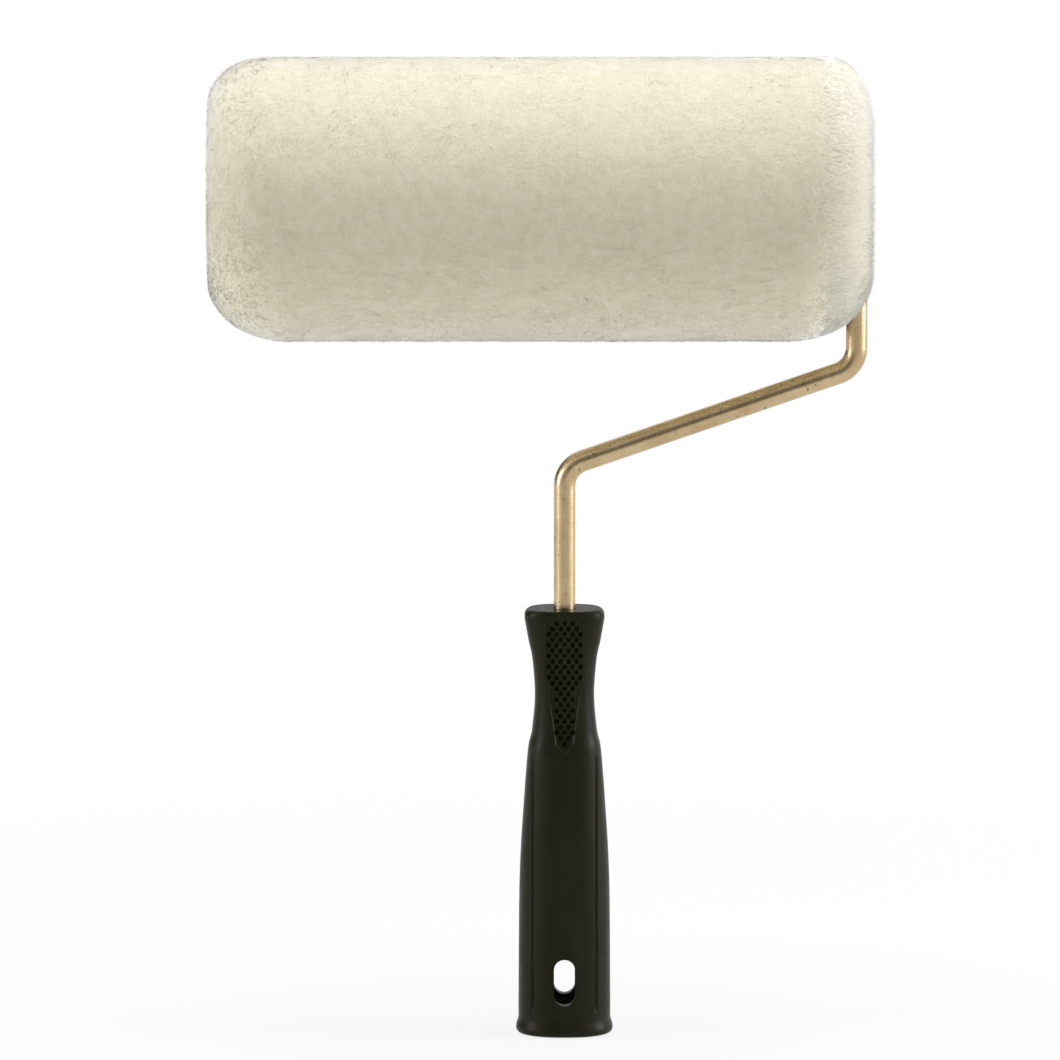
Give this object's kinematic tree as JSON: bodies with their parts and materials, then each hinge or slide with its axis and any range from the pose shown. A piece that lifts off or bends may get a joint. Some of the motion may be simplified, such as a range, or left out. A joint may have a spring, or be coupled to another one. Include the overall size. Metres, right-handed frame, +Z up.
{
  "type": "paint roller",
  "caption": "Paint roller: waisted plastic grip on a bent steel rod, wire cage that spins on the rod, and a thick lambswool cover that pulls off endways.",
  "frame": {"origin": "centre of the grip's open base, the mouth of the pole socket", "axes": "+Z up the grip towards the roller, +X towards the side where the rod's leg stands, -Y is the front"},
  "size_m": [0.2441, 0.1044, 0.3644],
  "materials": {
    "grip_polypropylene": "satin",
    "rod_passivated_steel": "satin",
    "zinc_plated_steel": "satin",
    "spring_steel": "satin",
    "cap_nylon": "satin",
    "bush_acetal": "satin",
    "core_phenolic_paper": "matte",
    "sheepskin_hide": "matte",
    "lambswool_pile": "matte"
  },
  "bodies": {
    "frame": {"handle_grip": "grip_polypropylene", "frame_rod": "rod_passivated_steel", "stop_ring": "zinc_plated_steel", "inner_thrust_washer": "zinc_plated_steel", "outer_thrust_washer": "zinc_plated_steel", "push_on_nut": "spring_steel"},
    "cage": {"inner_end_cap": "cap_nylon", "outer_end_cap": "cap_nylon", "inner_bearing_bush": "bush_acetal", "outer_bearing_bush": "bush_acetal", "outer_dust_cap": "cap_nylon", "cage_wire_1": "spring_steel", "cage_wire_2": "spring_steel", "cage_wire_3": "spring_steel", "cage_wire_4": "spring_steel", "cage_wire_5": "spring_steel", "cage_support_1": "cap_nylon", "cage_support_2": "cap_nylon"},
    "cover": {"core_tube": "core_phenolic_paper", "hide_backing": "sheepskin_hide", "fleece_pile": "lambswool_pile"}
  },
  "joints": [
    {"name": "roller_spin", "type": "hinge", "parent": "frame", "child": "cage", "pos_m": [0, 0, 0.31216], "axis": [1, 0, 0], "continuous": true},
    {"name": "cover_slide", "type": "slide", "parent": "cage", "child": "cover", "axis": [-1, 0, 0], "range_m": [0, 0.25]}
  ]
}
